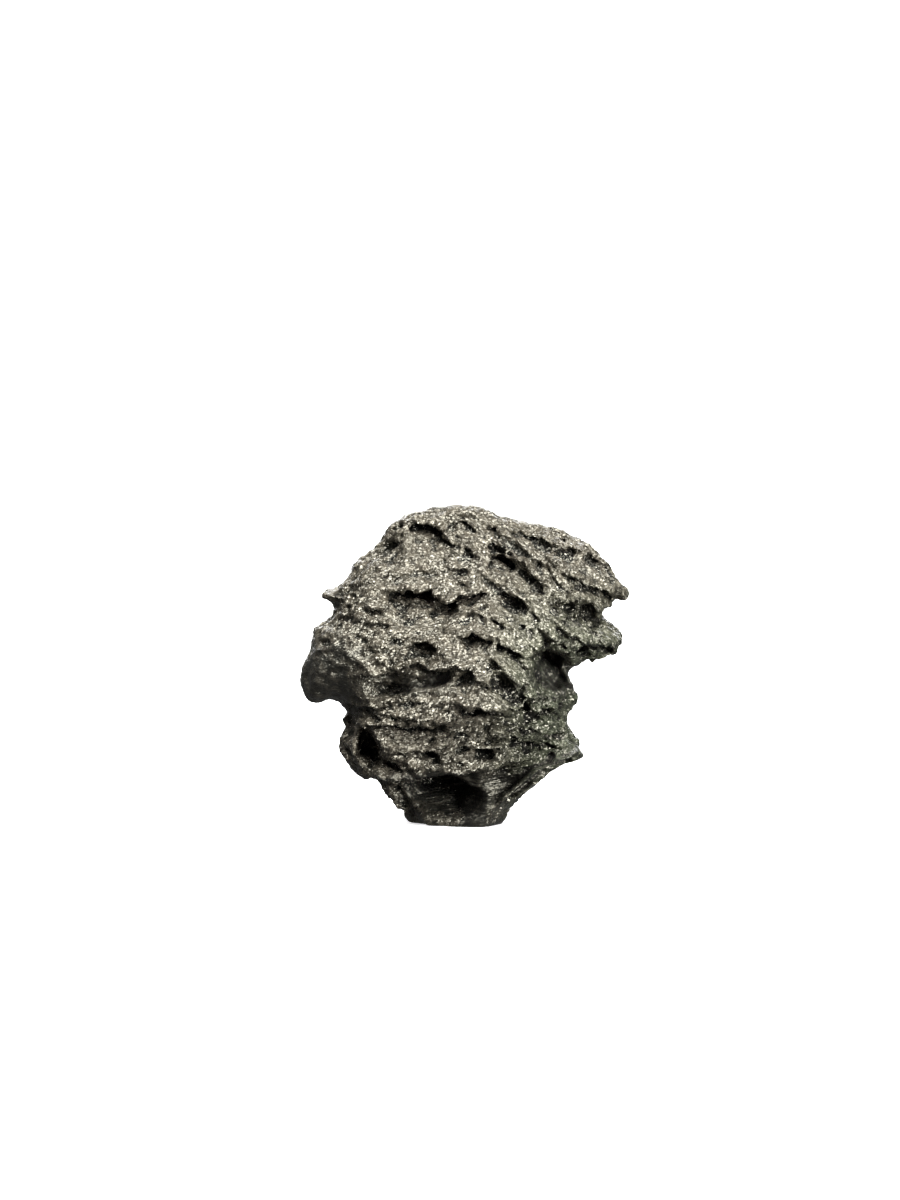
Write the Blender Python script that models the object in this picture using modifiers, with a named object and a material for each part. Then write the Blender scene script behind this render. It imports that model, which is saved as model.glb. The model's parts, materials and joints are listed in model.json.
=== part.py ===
"""A dark, deeply pitted stone specimen, about 33 x 20 x 32 mm, standing on its small worn foot.

It is one natural piece, so it is one solid. The script draws the stone's outline as seen from
the front, gives it a thickness, swells that slab into a chipped lump, and then works the big
relief into it: overhanging ledges, open hollows and single pits. Run it with
blender --background --python part.py.

The frame is in metres, +Z up. The pitted face looks along -Y, +X is to its right, and the
origin is under the middle of the stone at the height of its foot. Numbers below are millimetres.
"""

from typing import NamedTuple

import bmesh
import bpy
import numpy as np
from mathutils import Vector, noise

MM = 0.001
STONE_NAME = "meteorite_stone"

# Driving dimensions.
SLAB_DEPTH = 20.0  # the slab that the stone is swollen from
RIM_SHARE = 0.34  # how much of its thickness the stone keeps at its outline
RIM_ROUND = 5.5  # how far in from the outline it reaches its full thickness
WORKED_SIZE = 0.40  # side of the faces while the stone is being worked
TRIANGLES = 11600  # of the finished stone
FOOT_HEIGHT = 0.0  # what lies below this is worn away
WELD = 0.01  # points of the slab nearer than this are one point

# The outline from the front, clockwise from the upper left, as (x, z).
OUTLINE = [
    (-7.3, 30.1), (-5.7, 30.9), (-3.3, 31.6), (-0.7, 31.9), (1.7, 31.6), (4.0, 30.9), (6.6, 30.2),
    (9.4, 29.7), (11.3, 28.9), (13.0, 28.0), (14.2, 26.6), (15.1, 25.4), (15.8, 24.4), (16.5, 23.4),
    (16.2, 22.7), (15.0, 22.4), (14.6, 21.6), (13.5, 21.2), (13.6, 20.6), (15.0, 20.0), (15.9, 19.2),
    (15.8, 18.0), (14.5, 16.4), (13.2, 16.4), (11.8, 16.2), (10.8, 15.8), (10.5, 15.0), (10.8, 14.1),
    (11.3, 13.3), (11.4, 12.3), (10.6, 11.5), (10.4, 10.6), (10.7, 9.4), (10.5, 8.4), (11.3, 8.3),
    (11.9, 7.6), (11.8, 6.5), (9.9, 6.0), (8.3, 5.1), (7.4, 3.9), (5.8, 2.8), (4.7, 1.6),
    (4.2, 0.5), (3.5, -0.6), (2.6, -1.4), (-3.6, -1.4), (-5.0, -0.6), (-6.1, 0.8), (-7.2, 2.4),
    (-8.4, 3.7), (-9.4, 4.3),
    (-11.0, 5.5), (-12.0, 6.9), (-12.6, 7.9), (-11.9, 8.9), (-12.0, 10.2), (-11.6, 11.2),
    (-12.3, 12.2), (-13.4, 12.6), (-14.5, 12.0), (-15.7, 12.5), (-16.3, 13.9), (-16.1, 15.6),
    (-15.4, 17.2), (-14.9, 19.4), (-13.8, 20.3), (-12.6, 21.1), (-12.6, 22.1), (-14.1, 22.8),
    (-13.9, 23.1), (-12.0, 23.8), (-11.1, 25.8), (-10.3, 26.6), (-8.9, 27.3), (-8.1, 28.6),
]  # fmt: skip


class Facet(NamedTuple):
    """One broad plane of the lump: its reach from the middle at (x, z), and how it slopes."""

    reach: float
    x: float
    z: float
    slope_x: float
    slope_z: float


FRONT_FACETS = [
    Facet(9.6, 0.0, 17.0, 0.05, -0.42),
    Facet(9.4, 0.0, 12.0, -0.05, 0.26),
    Facet(8.6, -7.0, 15.0, 0.42, 0.02),
    Facet(9.0, 6.0, 16.0, -0.38, -0.08),
    Facet(8.4, -6.0, 24.0, 0.24, -0.36),
    Facet(8.2, 5.0, 6.0, -0.34, 0.22),
]
BACK_FACETS = [
    Facet(9.0, -2.0, 14.0, -0.16, 0.20),
    Facet(8.6, 3.0, 17.0, -0.30, -0.18),
    Facet(8.3, -6.0, 20.0, 0.36, -0.24),
    Facet(8.6, 1.0, 7.0, 0.05, 0.30),
    Facet(7.6, 0.0, 26.0, -0.04, -0.55),
    Facet(8.0, -9.0, 11.0, 0.50, 0.10),
]
FACET_BLEND = 0.9  # how softly two facets meet
WAIST_SWING = 1.7  # how far the outline's edge wanders fore and aft
WAIST_LENGTH = 11.0
FLANK_DRAW = 1.3  # how far the flanks draw in, fore and aft of that edge
FLANK_DRAW_LENGTH = 3.4
FLANK_DRAW_START = (0.3, 3.0)  # from the edge: where that begins, and where it is full
EDGE_WIDTH = 1.5  # half the width of the edge that is drawn back out
EDGE_REACH = (1.4, 2.4)  # how far from the outline it may lie: all of it drawn, none of it

# Every unevenness takes its noise from a place of its own, this far from the middle.
WAIST_NOISE = 3.1
FLANK_NOISE = 41.0
LUMP_NOISE = 20.0
RAGGED_NOISE = (31.0, 57.0)
STEP_NOISE = 7.7
PATCH_NOISE = 13.0


class Ledge(NamedTuple):
    """An overhanging step: the stone stands proud above the line and is cut back below it."""

    line: list
    depth: float
    fall: float  # how far below the line the cut runs out
    droop: float = 0.3  # how far the lip hangs down


FRONT_LEDGES = [
    Ledge([(-8.3, 22.7), (-6.2, 23.0), (-4.0, 23.8), (-2.4, 23.0), (-0.4, 21.7)], 2.1, 2.0, 0.5),
    Ledge([(-1.2, 22.6), (0.8, 23.2), (4.6, 22.9), (6.0, 21.5), (7.7, 20.3)], 1.7, 1.8, 0.4),
    Ledge([(-5.6, 29.6), (-3.0, 29.4), (-1.0, 28.8), (0.9, 27.8)], 1.4, 1.3),
    Ledge([(1.3, 27.6), (2.6, 28.0), (4.2, 27.6), (6.0, 26.2), (8.6, 24.6)], 1.5, 1.4),
    Ledge([(4.3, 29.7), (5.8, 28.9), (7.6, 28.9)], 1.2, 1.1),
    Ledge([(9.8, 27.2), (11.4, 27.1), (13.6, 26.4)], 1.2, 1.1),
    Ledge([(9.4, 23.9), (12.3, 24.0), (14.2, 23.5), (16.4, 23.5)], 2.4, 1.6, 0.4),
    Ledge([(10.4, 17.9), (12.2, 18.3), (14.0, 18.0), (16.0, 18.0)], 2.8, 1.8),
    Ledge([(-0.9, 18.7), (0.9, 19.2), (3.2, 18.4), (5.0, 17.9), (6.6, 16.5)], 1.6, 1.5, 0.4),
    Ledge([(-10.2, 14.9), (-6.6, 16.1), (-3.6, 15.9), (-0.6, 16.0)], 2.4, 2.4, 0.4),
    Ledge([(-0.8, 12.3), (2.0, 12.1), (4.2, 11.9), (7.4, 13.3), (9.4, 13.4)], 2.0, 2.0, 0.4),
    Ledge([(-12.0, 12.4), (-9.8, 11.9), (-7.6, 12.0)], 1.0, 1.2),
    Ledge([(-8.0, 10.1), (-4.0, 10.3), (-1.6, 10.4), (0.4, 11.2)], 1.2, 2.0),
    Ledge([(1.8, 9.1), (5.4, 9.2), (10.2, 8.8)], 1.2, 1.0),
    Ledge([(-10.0, 4.9), (-7.6, 5.0), (-3.0, 5.6), (1.2, 5.7), (5.0, 6.3), (8.0, 6.2)], 2.2, 2.4, 0.4),
]


class Pit(NamedTuple):
    """A hollow pressed in at (x, z): half width, half height, turn in degrees, depth."""

    x: float
    z: float
    half_x: float
    half_z: float
    turn: float
    depth: float
    lift: float = 0.35  # how far it bores upwards as it goes in


FRONT_PITS = [
    Pit(-7.1, 27.3, 1.5, 1.8, 0, 0.9, 0.0),
    Pit(-6.6, 22.1, 1.2, 1.1, 0, 1.5),
    Pit(-3.7, 22.9, 1.9, 1.1, -12, 2.0),
    Pit(3.6, 25.4, 1.9, 1.6, -20, 1.6),
    Pit(7.2, 25.4, 1.2, 0.8, 0, 1.0),
    Pit(10.3, 26.4, 1.2, 0.9, 0, 1.1),
    Pit(11.6, 21.2, 2.5, 1.4, -15, 1.7),
    Pit(-3.9, 17.0, 1.5, 1.5, 0, 1.6),
    Pit(0.1, 14.3, 1.3, 1.6, 0, 2.0),
    Pit(3.8, 13.6, 2.1, 1.7, 0, 1.3),
    Pit(8.6, 15.4, 2.2, 2.7, 25, 5.0, 0.1),
    Pit(-9.3, 7.5, 1.7, 2.3, 8, 4.2, 0.1),
    Pit(-7.0, 6.1, 1.6, 0.8, -10, 1.4),
    Pit(-3.2, 6.9, 1.4, 1.2, 0, 1.1),
    Pit(1.8, 7.1, 1.3, 1.0, 0, 1.3),
    Pit(6.9, 7.5, 1.5, 0.9, -8, 1.4),
    Pit(6.3, 10.6, 1.3, 0.8, 0, 0.9),
    Pit(-2.3, 3.2, 4.4, 2.3, -8, 6.0, 0.25),
    Pit(2.6, 4.0, 3.6, 1.6, 14, 1.6, 0.0),
]

RAGGED = 0.75  # how far the line of a ledge or pit wanders
RAGGED_LENGTH = 2.4
LEDGE_TAPER = 0.14  # share of a ledge's length over which it fades in, and out again
LIP_SWELL = 0.2  # how far the lip stands proud, as a share of the ledge's depth
LIP_WIDTH = 0.9
DROOP_WIDTH = 0.7
BOWL_POWER = 0.8  # below 1, a pit's floor is flatter and its wall steeper

# The hidden back and flanks carry the same kind of relief, spread by rule.
FLANK_PITS = 34
FLANK_START = 2.2  # the front's own relief ends this far behind the middle
FLANK_PIT_RADIUS = (1.3, 2.7)
FLANK_PIT_DEPTH = 0.62  # share of its radius
FLANK_SPACING = 3.6
PIT_FREE_HEIGHT = 2.0  # no hollow lies lower than this
STEP_HEIGHT = 4.7  # from one ledge of the back to the next
STEP_TILT = 0.35  # how far those ledges climb to the left, for each unit across
STEP_OVERHANG = 0.18  # share of a step that is its undercut
STEP_DEPTH = 1.35
STEP_PROUD = 0.3  # share of a step that stands out; the rest is cut in
STEP_WARP = 2.6
STEP_WARP_LENGTH = 7.5
PATCH_LENGTH = 6.0  # size of the patches that have steps, and of those that have none
LUMP_SIZES = ((5.2, 0.75), (2.3, 0.34))  # wavelength and height of the lumps all over
SEED = 11


def clear_scene():
    """Removes whatever objects the scene opened with."""
    for obj in list(bpy.data.objects):
        bpy.data.objects.remove(obj, do_unlink=True)


def new_collection(name):
    """A collection of that name, in the scene."""
    made = bpy.data.collections.new(name)
    bpy.context.scene.collection.children.link(made)
    return made


def outline_slab(collection):
    """The outline as a flat curve in the XZ plane, extruded to half the slab's depth each way."""
    curve = bpy.data.curves.new("outline", "CURVE")
    curve.dimensions = "2D"
    curve.fill_mode = "BOTH"
    curve.extrude = SLAB_DEPTH / 2 * MM
    spline = curve.splines.new("POLY")
    spline.points.add(len(OUTLINE) - 1)
    for point, (x, z) in zip(spline.points, OUTLINE):
        point.co = (x * MM, z * MM, 0.0, 1.0)
    spline.use_cyclic_u = True
    drawn = bpy.data.objects.new("outline", curve)
    drawn.rotation_euler = (np.pi / 2, 0.0, 0.0)
    collection.objects.link(drawn)
    bpy.context.view_layer.update()
    graph = bpy.context.evaluated_depsgraph_get()
    mesh = bpy.data.meshes.new_from_object(drawn.evaluated_get(graph), depsgraph=graph)
    mesh.transform(drawn.matrix_world)
    bpy.data.objects.remove(drawn, do_unlink=True)
    weld(mesh)
    mesh.name = STONE_NAME
    stone = bpy.data.objects.new(STONE_NAME, mesh)
    collection.objects.link(stone)
    return stone


def weld(mesh):
    """Joins the curve's caps to its wall and turns every face outwards."""
    shape = bmesh.new()
    shape.from_mesh(mesh)
    bmesh.ops.remove_doubles(shape, verts=shape.verts, dist=WELD * MM)
    bmesh.ops.recalc_face_normals(shape, faces=shape.faces)
    shape.to_mesh(mesh)
    shape.free()


def remesh(stone, smoothing):
    """Covers the stone with even faces, and smooths them a little."""
    even = stone.modifiers.new("even_faces", "REMESH")
    even.mode = "VOXEL"
    even.voxel_size = WORKED_SIZE * MM
    even.adaptivity = 0.0
    if smoothing:
        soft = stone.modifiers.new("soften", "SMOOTH")
        soft.factor = 0.5
        soft.iterations = smoothing
    apply_modifiers(stone)


def thin_out(stone):
    """Merges faces where the surface is plain, down to the number wanted."""
    stone.data.calc_loop_triangles()
    fewer = stone.modifiers.new("fewer_faces", "DECIMATE")
    fewer.ratio = TRIANGLES / len(stone.data.loop_triangles)
    fewer.use_collapse_triangulate = True
    apply_modifiers(stone)


def apply_modifiers(stone):
    """Makes the stone's mesh what its modifiers show, and takes them off."""
    bpy.context.view_layer.update()
    graph = bpy.context.evaluated_depsgraph_get()
    mesh = bpy.data.meshes.new_from_object(stone.evaluated_get(graph), depsgraph=graph)
    stone.modifiers.clear()
    stone.data = mesh


def read_points(stone):
    """The stone's vertices in millimetres."""
    points = np.empty(len(stone.data.vertices) * 3)
    stone.data.vertices.foreach_get("co", points)
    return points.reshape(-1, 3) / MM


def write_points(stone, points):
    """Moves the stone's vertices to points given in millimetres."""
    stone.data.vertices.foreach_set("co", (points * MM).ravel())
    stone.data.update()


def read_normals(stone):
    """Which way the surface faces at each vertex."""
    normals = np.empty(len(stone.data.vertices) * 3)
    stone.data.vertices.foreach_get("normal", normals)
    return normals.reshape(-1, 3)


def ramp(value, low, high):
    """0 below low, 1 above high, and smooth between them."""
    t = np.clip((value - low) / (high - low), 0.0, 1.0)
    return t * t * (3.0 - 2.0 * t)


def wavy(points, length, place):
    """Smooth noise from -1 to 1 at each point, with hills about that far apart."""
    shift = Vector((place, place, place))
    return np.array([noise.noise(Vector(p) / length + shift) for p in points])


def line_distance(x, z, line):
    """For each point: its distance to the line, which side it is on (1 below a line that runs
    to the right), and how far along the line it lies, from 0 to 1."""
    ends = np.array(line, float)
    steps = np.diff(ends, axis=0)
    lengths = np.hypot(steps[:, 0], steps[:, 1])
    start = np.concatenate([[0.0], np.cumsum(lengths)])
    best = np.full(len(x), np.inf)
    side = np.ones(len(x))
    along = np.zeros(len(x))
    for (ax, az), (dx, dz), length, begun in zip(ends, steps, lengths, start):
        t = np.clip(((x - ax) * dx + (z - az) * dz) / length**2, 0.0, 1.0)
        gap_x, gap_z = x - ax - t * dx, z - az - t * dz
        gap = np.hypot(gap_x, gap_z)
        nearer = gap < best
        best = np.where(nearer, gap, best)
        side = np.where(nearer, np.where(dz * gap_x - dx * gap_z > 0, 1.0, -1.0), side)
        along = np.where(nearer, (begun + t * length) / start[-1], along)
    return best, side, along


def reach(x, z, facets):
    """How far the lump reaches at (x, z): the nearest of its facets, blended where they meet."""
    planes = [f.reach + f.slope_x * (x - f.x) + f.slope_z * (z - f.z) for f in facets]
    return -FACET_BLEND * np.log(sum(np.exp(-p / FACET_BLEND) for p in planes))


def swell(stone):
    """Turns the slab into a chipped lump that thins out towards the outline."""
    points = read_points(stone)
    x, y, z = points.T
    distance, _, _ = line_distance(x, z, OUTLINE + OUTLINE[:1])
    inward = np.clip(distance / RIM_ROUND, 0.0, 1.0)
    fullness = RIM_SHARE + (1.0 - RIM_SHARE) * np.sqrt(1.0 - (1.0 - inward) ** 2)
    share = y / (SLAB_DEPTH / 2)
    reached = np.where(share < 0, reach(x, z, FRONT_FACETS), reach(x, z, BACK_FACETS))
    points[:, 1] = share * reached * fullness + waist(points)
    write_points(stone, points)


def waist(points):
    """How far back the stone's widest edge lies at each point's x and z."""
    return WAIST_SWING * wavy(points * (1.0, 0.0, 1.0), WAIST_LENGTH, WAIST_NOISE)


def round_flanks(stone):
    """Draws the flanks in, unevenly, before and behind the widest edge, which stays as drawn."""
    points = read_points(stone)
    normals = read_normals(stone)
    away = ramp(np.abs(points[:, 1] - waist(points)), *FLANK_DRAW_START)
    uneven = 0.6 + 0.8 * wavy(points, FLANK_DRAW_LENGTH, FLANK_NOISE)
    drawn = FLANK_DRAW * away * uneven * (1.0 - normals[:, 1] ** 2)
    write_points(stone, points - normals * (1.0, 0.0, 1.0) * drawn[:, None])


def add_lumps(stone):
    """Raises and lowers the front and back in soft lumps, and leaves the outline as drawn."""
    for number, (length, height) in enumerate(LUMP_SIZES):
        points = read_points(stone)
        lumps = height * wavy(points, length, LUMP_NOISE + number)
        points[:, 1] += lumps * read_normals(stone)[:, 1]
        write_points(stone, points)


def ragged(points):
    """The points' x and z, shifted a little here and there so that what follows is uneven."""
    noise_x, noise_z = RAGGED_NOISE
    x = points[:, 0] + RAGGED * wavy(points, RAGGED_LENGTH, noise_x)
    z = points[:, 2] + RAGGED * wavy(points, RAGGED_LENGTH, noise_z)
    return x, z


def cut_ledges(stone):
    """Cuts each front ledge: back below its line, and its lip drawn down over the cut."""
    points = read_points(stone)
    uneven_x, uneven_z = ragged(points)
    facing = ramp(-read_normals(stone)[:, 1], 0.0, 0.4) * ramp(-points[:, 1], -0.5, 1.5)
    for ledge in FRONT_LEDGES:
        distance, side, along = line_distance(uneven_x, uneven_z, ledge.line)
        strength = facing * ramp(along, 0.0, LEDGE_TAPER) * ramp(1.0 - along, 0.0, LEDGE_TAPER)
        below = side > 0
        proud = -LIP_SWELL * np.exp(-((distance / LIP_WIDTH) ** 2))
        cut = np.where(below, np.exp(-distance / ledge.fall), proud)
        droop = np.where(below, 0.0, np.exp(-distance / DROOP_WIDTH))
        points[:, 1] += ledge.depth * strength * cut
        points[:, 2] -= ledge.droop * strength * droop
    write_points(stone, points)


def press_front_pits(stone):
    """Presses each front pit straight in, leaning upwards by its lift."""
    points = read_points(stone)
    uneven_x, uneven_z = ragged(points)
    facing = ramp(-read_normals(stone)[:, 1], -0.1, 0.3) * ramp(-points[:, 1], -1.5, 1.0)
    for pit in FRONT_PITS:
        turn = np.radians(pit.turn)
        x, z = uneven_x - pit.x, uneven_z - pit.z
        across = (x * np.cos(turn) + z * np.sin(turn)) / pit.half_x
        up = (z * np.cos(turn) - x * np.sin(turn)) / pit.half_z
        bowl = pit.depth * facing * np.clip(1.0 - across**2 - up**2, 0.0, 1.0) ** BOWL_POWER
        points[:, 1] += bowl
        points[:, 2] += pit.lift * bowl
    write_points(stone, points)


def cut_back_steps(stone):
    """Works stepped ledges into the back and flanks, as the front has."""
    points = read_points(stone)
    behind = ramp(points[:, 1], -2.0, 1.5)
    warp = STEP_WARP * wavy(points, STEP_WARP_LENGTH, STEP_NOISE)
    phase = ((points[:, 2] + STEP_TILT * points[:, 0] + warp) / STEP_HEIGHT) % 1.0
    slope = 1.0 - STEP_OVERHANG
    tooth = np.where(phase < slope, phase / slope, (1.0 - phase) / STEP_OVERHANG)
    patchy = ramp(wavy(points, PATCH_LENGTH, PATCH_NOISE), -0.35, 0.3)
    depth = STEP_DEPTH * behind * patchy * (STEP_PROUD - tooth)
    write_points(stone, points + read_normals(stone) * depth[:, None])


def press_flank_pits(stone):
    """Presses round hollows into the back and flanks, spaced apart and seeded."""
    points = read_points(stone)
    normals = read_normals(stone)
    chance = np.random.default_rng(SEED)
    behind = (points[:, 1] > FLANK_START) & (normals[:, 1] > -0.5)
    wanted = np.flatnonzero(behind & (points[:, 2] > PIT_FREE_HEIGHT))
    chosen = []
    for index in chance.permutation(wanted):
        if all(np.linalg.norm(points[index] - points[other]) > FLANK_SPACING for other in chosen):
            chosen.append(index)
        if len(chosen) == FLANK_PITS:
            break
    centres, axes = points[chosen], normals[chosen]
    for centre, axis in zip(centres, axes):
        radius = chance.uniform(*FLANK_PIT_RADIUS)
        gap = np.linalg.norm(points - centre, axis=1) / radius
        same_side = ramp(normals @ axis, 0.0, 0.4)
        bowl = FLANK_PIT_DEPTH * radius * same_side * np.clip(1.0 - gap**2, 0.0, 1.0)
        points -= axis * bowl[:, None]
    write_points(stone, points)


def draw_outline(stone):
    """Draws the widest edge back out to the outline, which the work on the flanks has dulled."""
    points = read_points(stone)
    normals = read_normals(stone)
    x, y, z = points.T
    corners = np.array(OUTLINE + OUTLINE[:1], float)
    distance = np.full(len(points), np.inf)
    nearest = np.zeros((len(points), 2))
    for start, step in zip(corners[:-1], np.diff(corners, axis=0)):
        t = np.clip(((x - start[0]) * step[0] + (z - start[1]) * step[1]) / (step @ step), 0.0, 1.0)
        spot = start + t[:, None] * step
        gap = np.hypot(x - spot[:, 0], z - spot[:, 1])
        nearest[gap < distance] = spot[gap < distance]
        distance = np.minimum(distance, gap)
    out_x, out_z = nearest[:, 0] - x, nearest[:, 1] - z
    outward = (out_x * normals[:, 0] + out_z * normals[:, 2]) / np.maximum(distance, 0.01)
    edge = np.exp(-(((y - waist(points)) / EDGE_WIDTH) ** 2)) * ramp(outward, 0.2, 0.7)
    pull = edge * (1.0 - ramp(distance, *EDGE_REACH))
    points[:, 0] += pull * out_x
    points[:, 2] += pull * out_z
    write_points(stone, points)


def wear_foot(stone):
    """Cuts the foot flat, and sets the middle of the stone over the origin."""
    shape = bmesh.new()
    shape.from_mesh(stone.data)
    height = FOOT_HEIGHT * MM
    everything = shape.verts[:] + shape.edges[:] + shape.faces[:]
    base, down = (0, 0, height), (0, 0, -1)
    cut = bmesh.ops.bisect_plane(
        shape, geom=everything, dist=0.001 * MM, plane_co=base, plane_no=down, clear_outer=True
    )
    rim = [e for e in cut["geom_cut"] if isinstance(e, bmesh.types.BMEdge)]
    bmesh.ops.holes_fill(shape, edges=rim, sides=0)
    corners = np.array([v.co for v in shape.verts])
    middle = (corners.min(0) + corners.max(0)) / 2
    bmesh.ops.translate(shape, verts=shape.verts, vec=(-middle[0], -middle[1], -height))
    bmesh.ops.recalc_face_normals(shape, faces=shape.faces)
    shape.to_mesh(stone.data)
    shape.free()


def stone_material():
    """Near-black stone with a satin skin."""
    made = bpy.data.materials.new("black_stone")
    made.use_nodes = True
    shader = made.node_tree.nodes["Principled BSDF"]
    shader.inputs["Base Color"].default_value = (0.035, 0.034, 0.030, 1.0)
    shader.inputs["Roughness"].default_value = 0.45
    shader.inputs["Metallic"].default_value = 0.0
    return made


def main():
    clear_scene()
    stone = outline_slab(new_collection("meteorite_specimen"))
    remesh(stone, 0)
    swell(stone)
    remesh(stone, 2)
    round_flanks(stone)
    add_lumps(stone)
    cut_back_steps(stone)
    press_flank_pits(stone)
    remesh(stone, 1)
    cut_ledges(stone)
    remesh(stone, 0)
    press_front_pits(stone)
    remesh(stone, 2)
    draw_outline(stone)
    wear_foot(stone)
    thin_out(stone)
    stone.data.materials.append(stone_material())


main()
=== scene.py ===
"""The pitted meteorite stone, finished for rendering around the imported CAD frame.

The stone is one natural piece. Its coarse shape is copied from the CAD node; the fine relief
is worked into that copy: overhanging ledges, pits, ridges, flow wrinkles and grit. It stands
on a plain pale cove under soft studio light. Metres, +Z up, the pitted face towards -Y.
"""

import json
import logging
import math
from dataclasses import dataclass, field
from enum import Enum
from typing import Callable, Sequence
import bpy
import numpy as np
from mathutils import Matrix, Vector, noise

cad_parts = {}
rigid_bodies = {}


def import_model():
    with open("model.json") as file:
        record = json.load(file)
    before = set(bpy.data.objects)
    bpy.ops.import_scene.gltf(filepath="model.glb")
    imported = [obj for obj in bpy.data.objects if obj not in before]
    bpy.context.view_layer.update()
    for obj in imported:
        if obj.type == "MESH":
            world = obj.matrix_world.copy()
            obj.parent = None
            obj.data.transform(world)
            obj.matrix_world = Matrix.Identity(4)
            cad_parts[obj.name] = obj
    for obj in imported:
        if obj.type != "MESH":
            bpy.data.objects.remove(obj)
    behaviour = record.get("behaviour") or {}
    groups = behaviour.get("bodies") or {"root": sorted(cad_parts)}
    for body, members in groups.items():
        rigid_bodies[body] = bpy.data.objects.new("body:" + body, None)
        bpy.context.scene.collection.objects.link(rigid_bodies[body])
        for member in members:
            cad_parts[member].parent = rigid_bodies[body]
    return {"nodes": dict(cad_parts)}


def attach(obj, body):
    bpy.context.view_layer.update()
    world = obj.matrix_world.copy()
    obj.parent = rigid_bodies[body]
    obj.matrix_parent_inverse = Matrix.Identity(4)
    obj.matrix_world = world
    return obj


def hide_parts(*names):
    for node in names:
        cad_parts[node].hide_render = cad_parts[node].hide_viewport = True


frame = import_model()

log = logging.getLogger("meteorite")

MM = 0.001

# How the front's tools bite: lengths in millimetres, the rest shares of each tool's own sizes.
LEDGE_BITE = 0.10
LEDGE_REACH = 1.6
LEDGE_GAIN = 1.9
LEDGE_HANG = 0.45
LEDGE_TAPER = 0.12
LIP_GAIN = 0.9
LIP_REACH = 0.5
PIT_SPREAD = 1.2
PIT_GAIN = 1.35
PIT_POWER = 2.4
RIM_RADIUS = 1.08
RIM_WIDTH = 0.16
CREST_GAIN = 1.4
CREST_TAPER = 0.2
BROW_RADIUS = 1.1
BROW_WIDTH = 0.22

# The small relief, heights in millimetres.
LARGE_POCK = (1.7, 0.36)
SMALL_POCK = (0.8, 0.14)
POCK_MEAN = 0.14
WRINKLE_HEIGHT = 0.10
LUMP_HEIGHT = 0.10
KNOB_HEIGHT = 0.07
GRAIN_HEIGHT = 0.05
SWELL_HEIGHT = 0.07
SATIN_GRAIN_HEIGHT = 0.03
STRIA_HEIGHT = 0.06
STRIA_SPACING = 0.42
TERRACE_MEAN = 0.35
RELIEF_SPREAD = 0.5
RELIEF_ROUNDS = 28

# Fixes the noise that bends the scallops; unset, Blender would start it from the clock.
NOISE_SEED = 1795059773
noise.seed_set(NOISE_SEED)

Array = np.ndarray
Line = Sequence[tuple[float, float]]
Socket = bpy.types.NodeSocket


# ---------------------------------------------------------------- small helpers


def ramp(value: Array, low: float, high: float) -> Array:
    """Gives 0 below low, 1 above high, and a smooth step between them.

    Args:
        value: What is compared.
        low: Where the step starts.
        high: Where the step ends.

    Returns:
        The step's height at each value.
    """
    t = np.clip((value - low) / (high - low), 0.0, 1.0)
    return t * t * (3.0 - 2.0 * t)


def wavy(points: Array, length: float, offset: float = 0.0) -> Array:
    """Gives smooth noise from about -1 to 1 at each point.

    Args:
        points: Places in millimetres, one a row.
        length: How far apart the hills are, in millimetres.
        offset: Moves to another part of the noise.

    Returns:
        The noise at each point.
    """
    scaled = points / length + offset
    return np.array([noise.noise(Vector(p)) for p in scaled])


def linear(code: str) -> tuple[float, float, float, float]:
    """Turns an sRGB hex colour into linear light.

    Args:
        code: Six hex digits.

    Returns:
        Red, green, blue and an alpha of 1.
    """
    parts = [int(code[i : i + 2], 16) / 255 for i in (0, 2, 4)]
    low, high = 0.04045, 1.055
    r, g, b = (c / 12.92 if c <= low else ((c + 0.055) / high) ** 2.4 for c in parts)
    return (r, g, b, 1.0)


def deselect() -> None:
    """Leaves nothing selected and nothing active."""
    for obj in bpy.context.selected_objects:
        obj.select_set(False)
    bpy.context.view_layer.objects.active = None


def activate(obj: bpy.types.Object) -> None:
    """Selects one object alone and makes it the active one."""
    deselect()
    obj.select_set(True)
    bpy.context.view_layer.objects.active = obj


def line_distance(u: Array, v: Array, line: Line) -> tuple[Array, Array, Array]:
    """Measures points against a broken line.

    Args:
        u: Positions to the right.
        v: Positions upwards.
        line: The line's corners.

    Returns:
        The distance, the side (1 below a line that runs to the right) and how far along the
        line the nearest spot lies, from 0 to 1.
    """
    ends = np.array(line, float)
    steps = np.diff(ends, axis=0)
    lengths = np.hypot(steps[:, 0], steps[:, 1])
    begun = np.concatenate([[0.0], np.cumsum(lengths)])
    best = np.full(len(u), np.inf)
    side = np.ones(len(u))
    along = np.zeros(len(u))
    for (au, av), (du, dv), length, start in zip(ends, steps, lengths, begun):
        t = np.clip(((u - au) * du + (v - av) * dv) / length**2, 0.0, 1.0)
        gap_u, gap_v = u - au - t * du, v - av - t * dv
        gap = np.hypot(gap_u, gap_v)
        nearer = gap < best
        best = np.where(nearer, gap, best)
        side = np.where(nearer, np.where(dv * gap_u - du * gap_v > 0, 1.0, -1.0), side)
        along = np.where(nearer, (start + t * length) / begun[-1], along)
    return best, side, along


MAIN_LIP: Line = (
    (-8.2, 22.2), (-6.6, 22.9), (-5.4, 23.0), (-4.6, 23.7), (-3.8, 23.9), (-2.9, 23.5), (-1.6, 22.5),
    (-0.9, 22.4), (0.0, 23.0), (0.9, 23.2), (1.9, 22.8), (3.0, 23.2), (4.8, 22.9), (5.6, 22.3),
    (6.5, 21.2), (7.6, 20.3), (8.6, 19.7),
)  # fmt: skip

LOWER_LIP: Line = ((12.2, 7.3), (9.4, 6.3), (7.3, 5.3), (5.6, 3.9), (4.2, 2.6), (2.9, 1.3))


# ---------------------------------------------------------------- the worked surface


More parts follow.
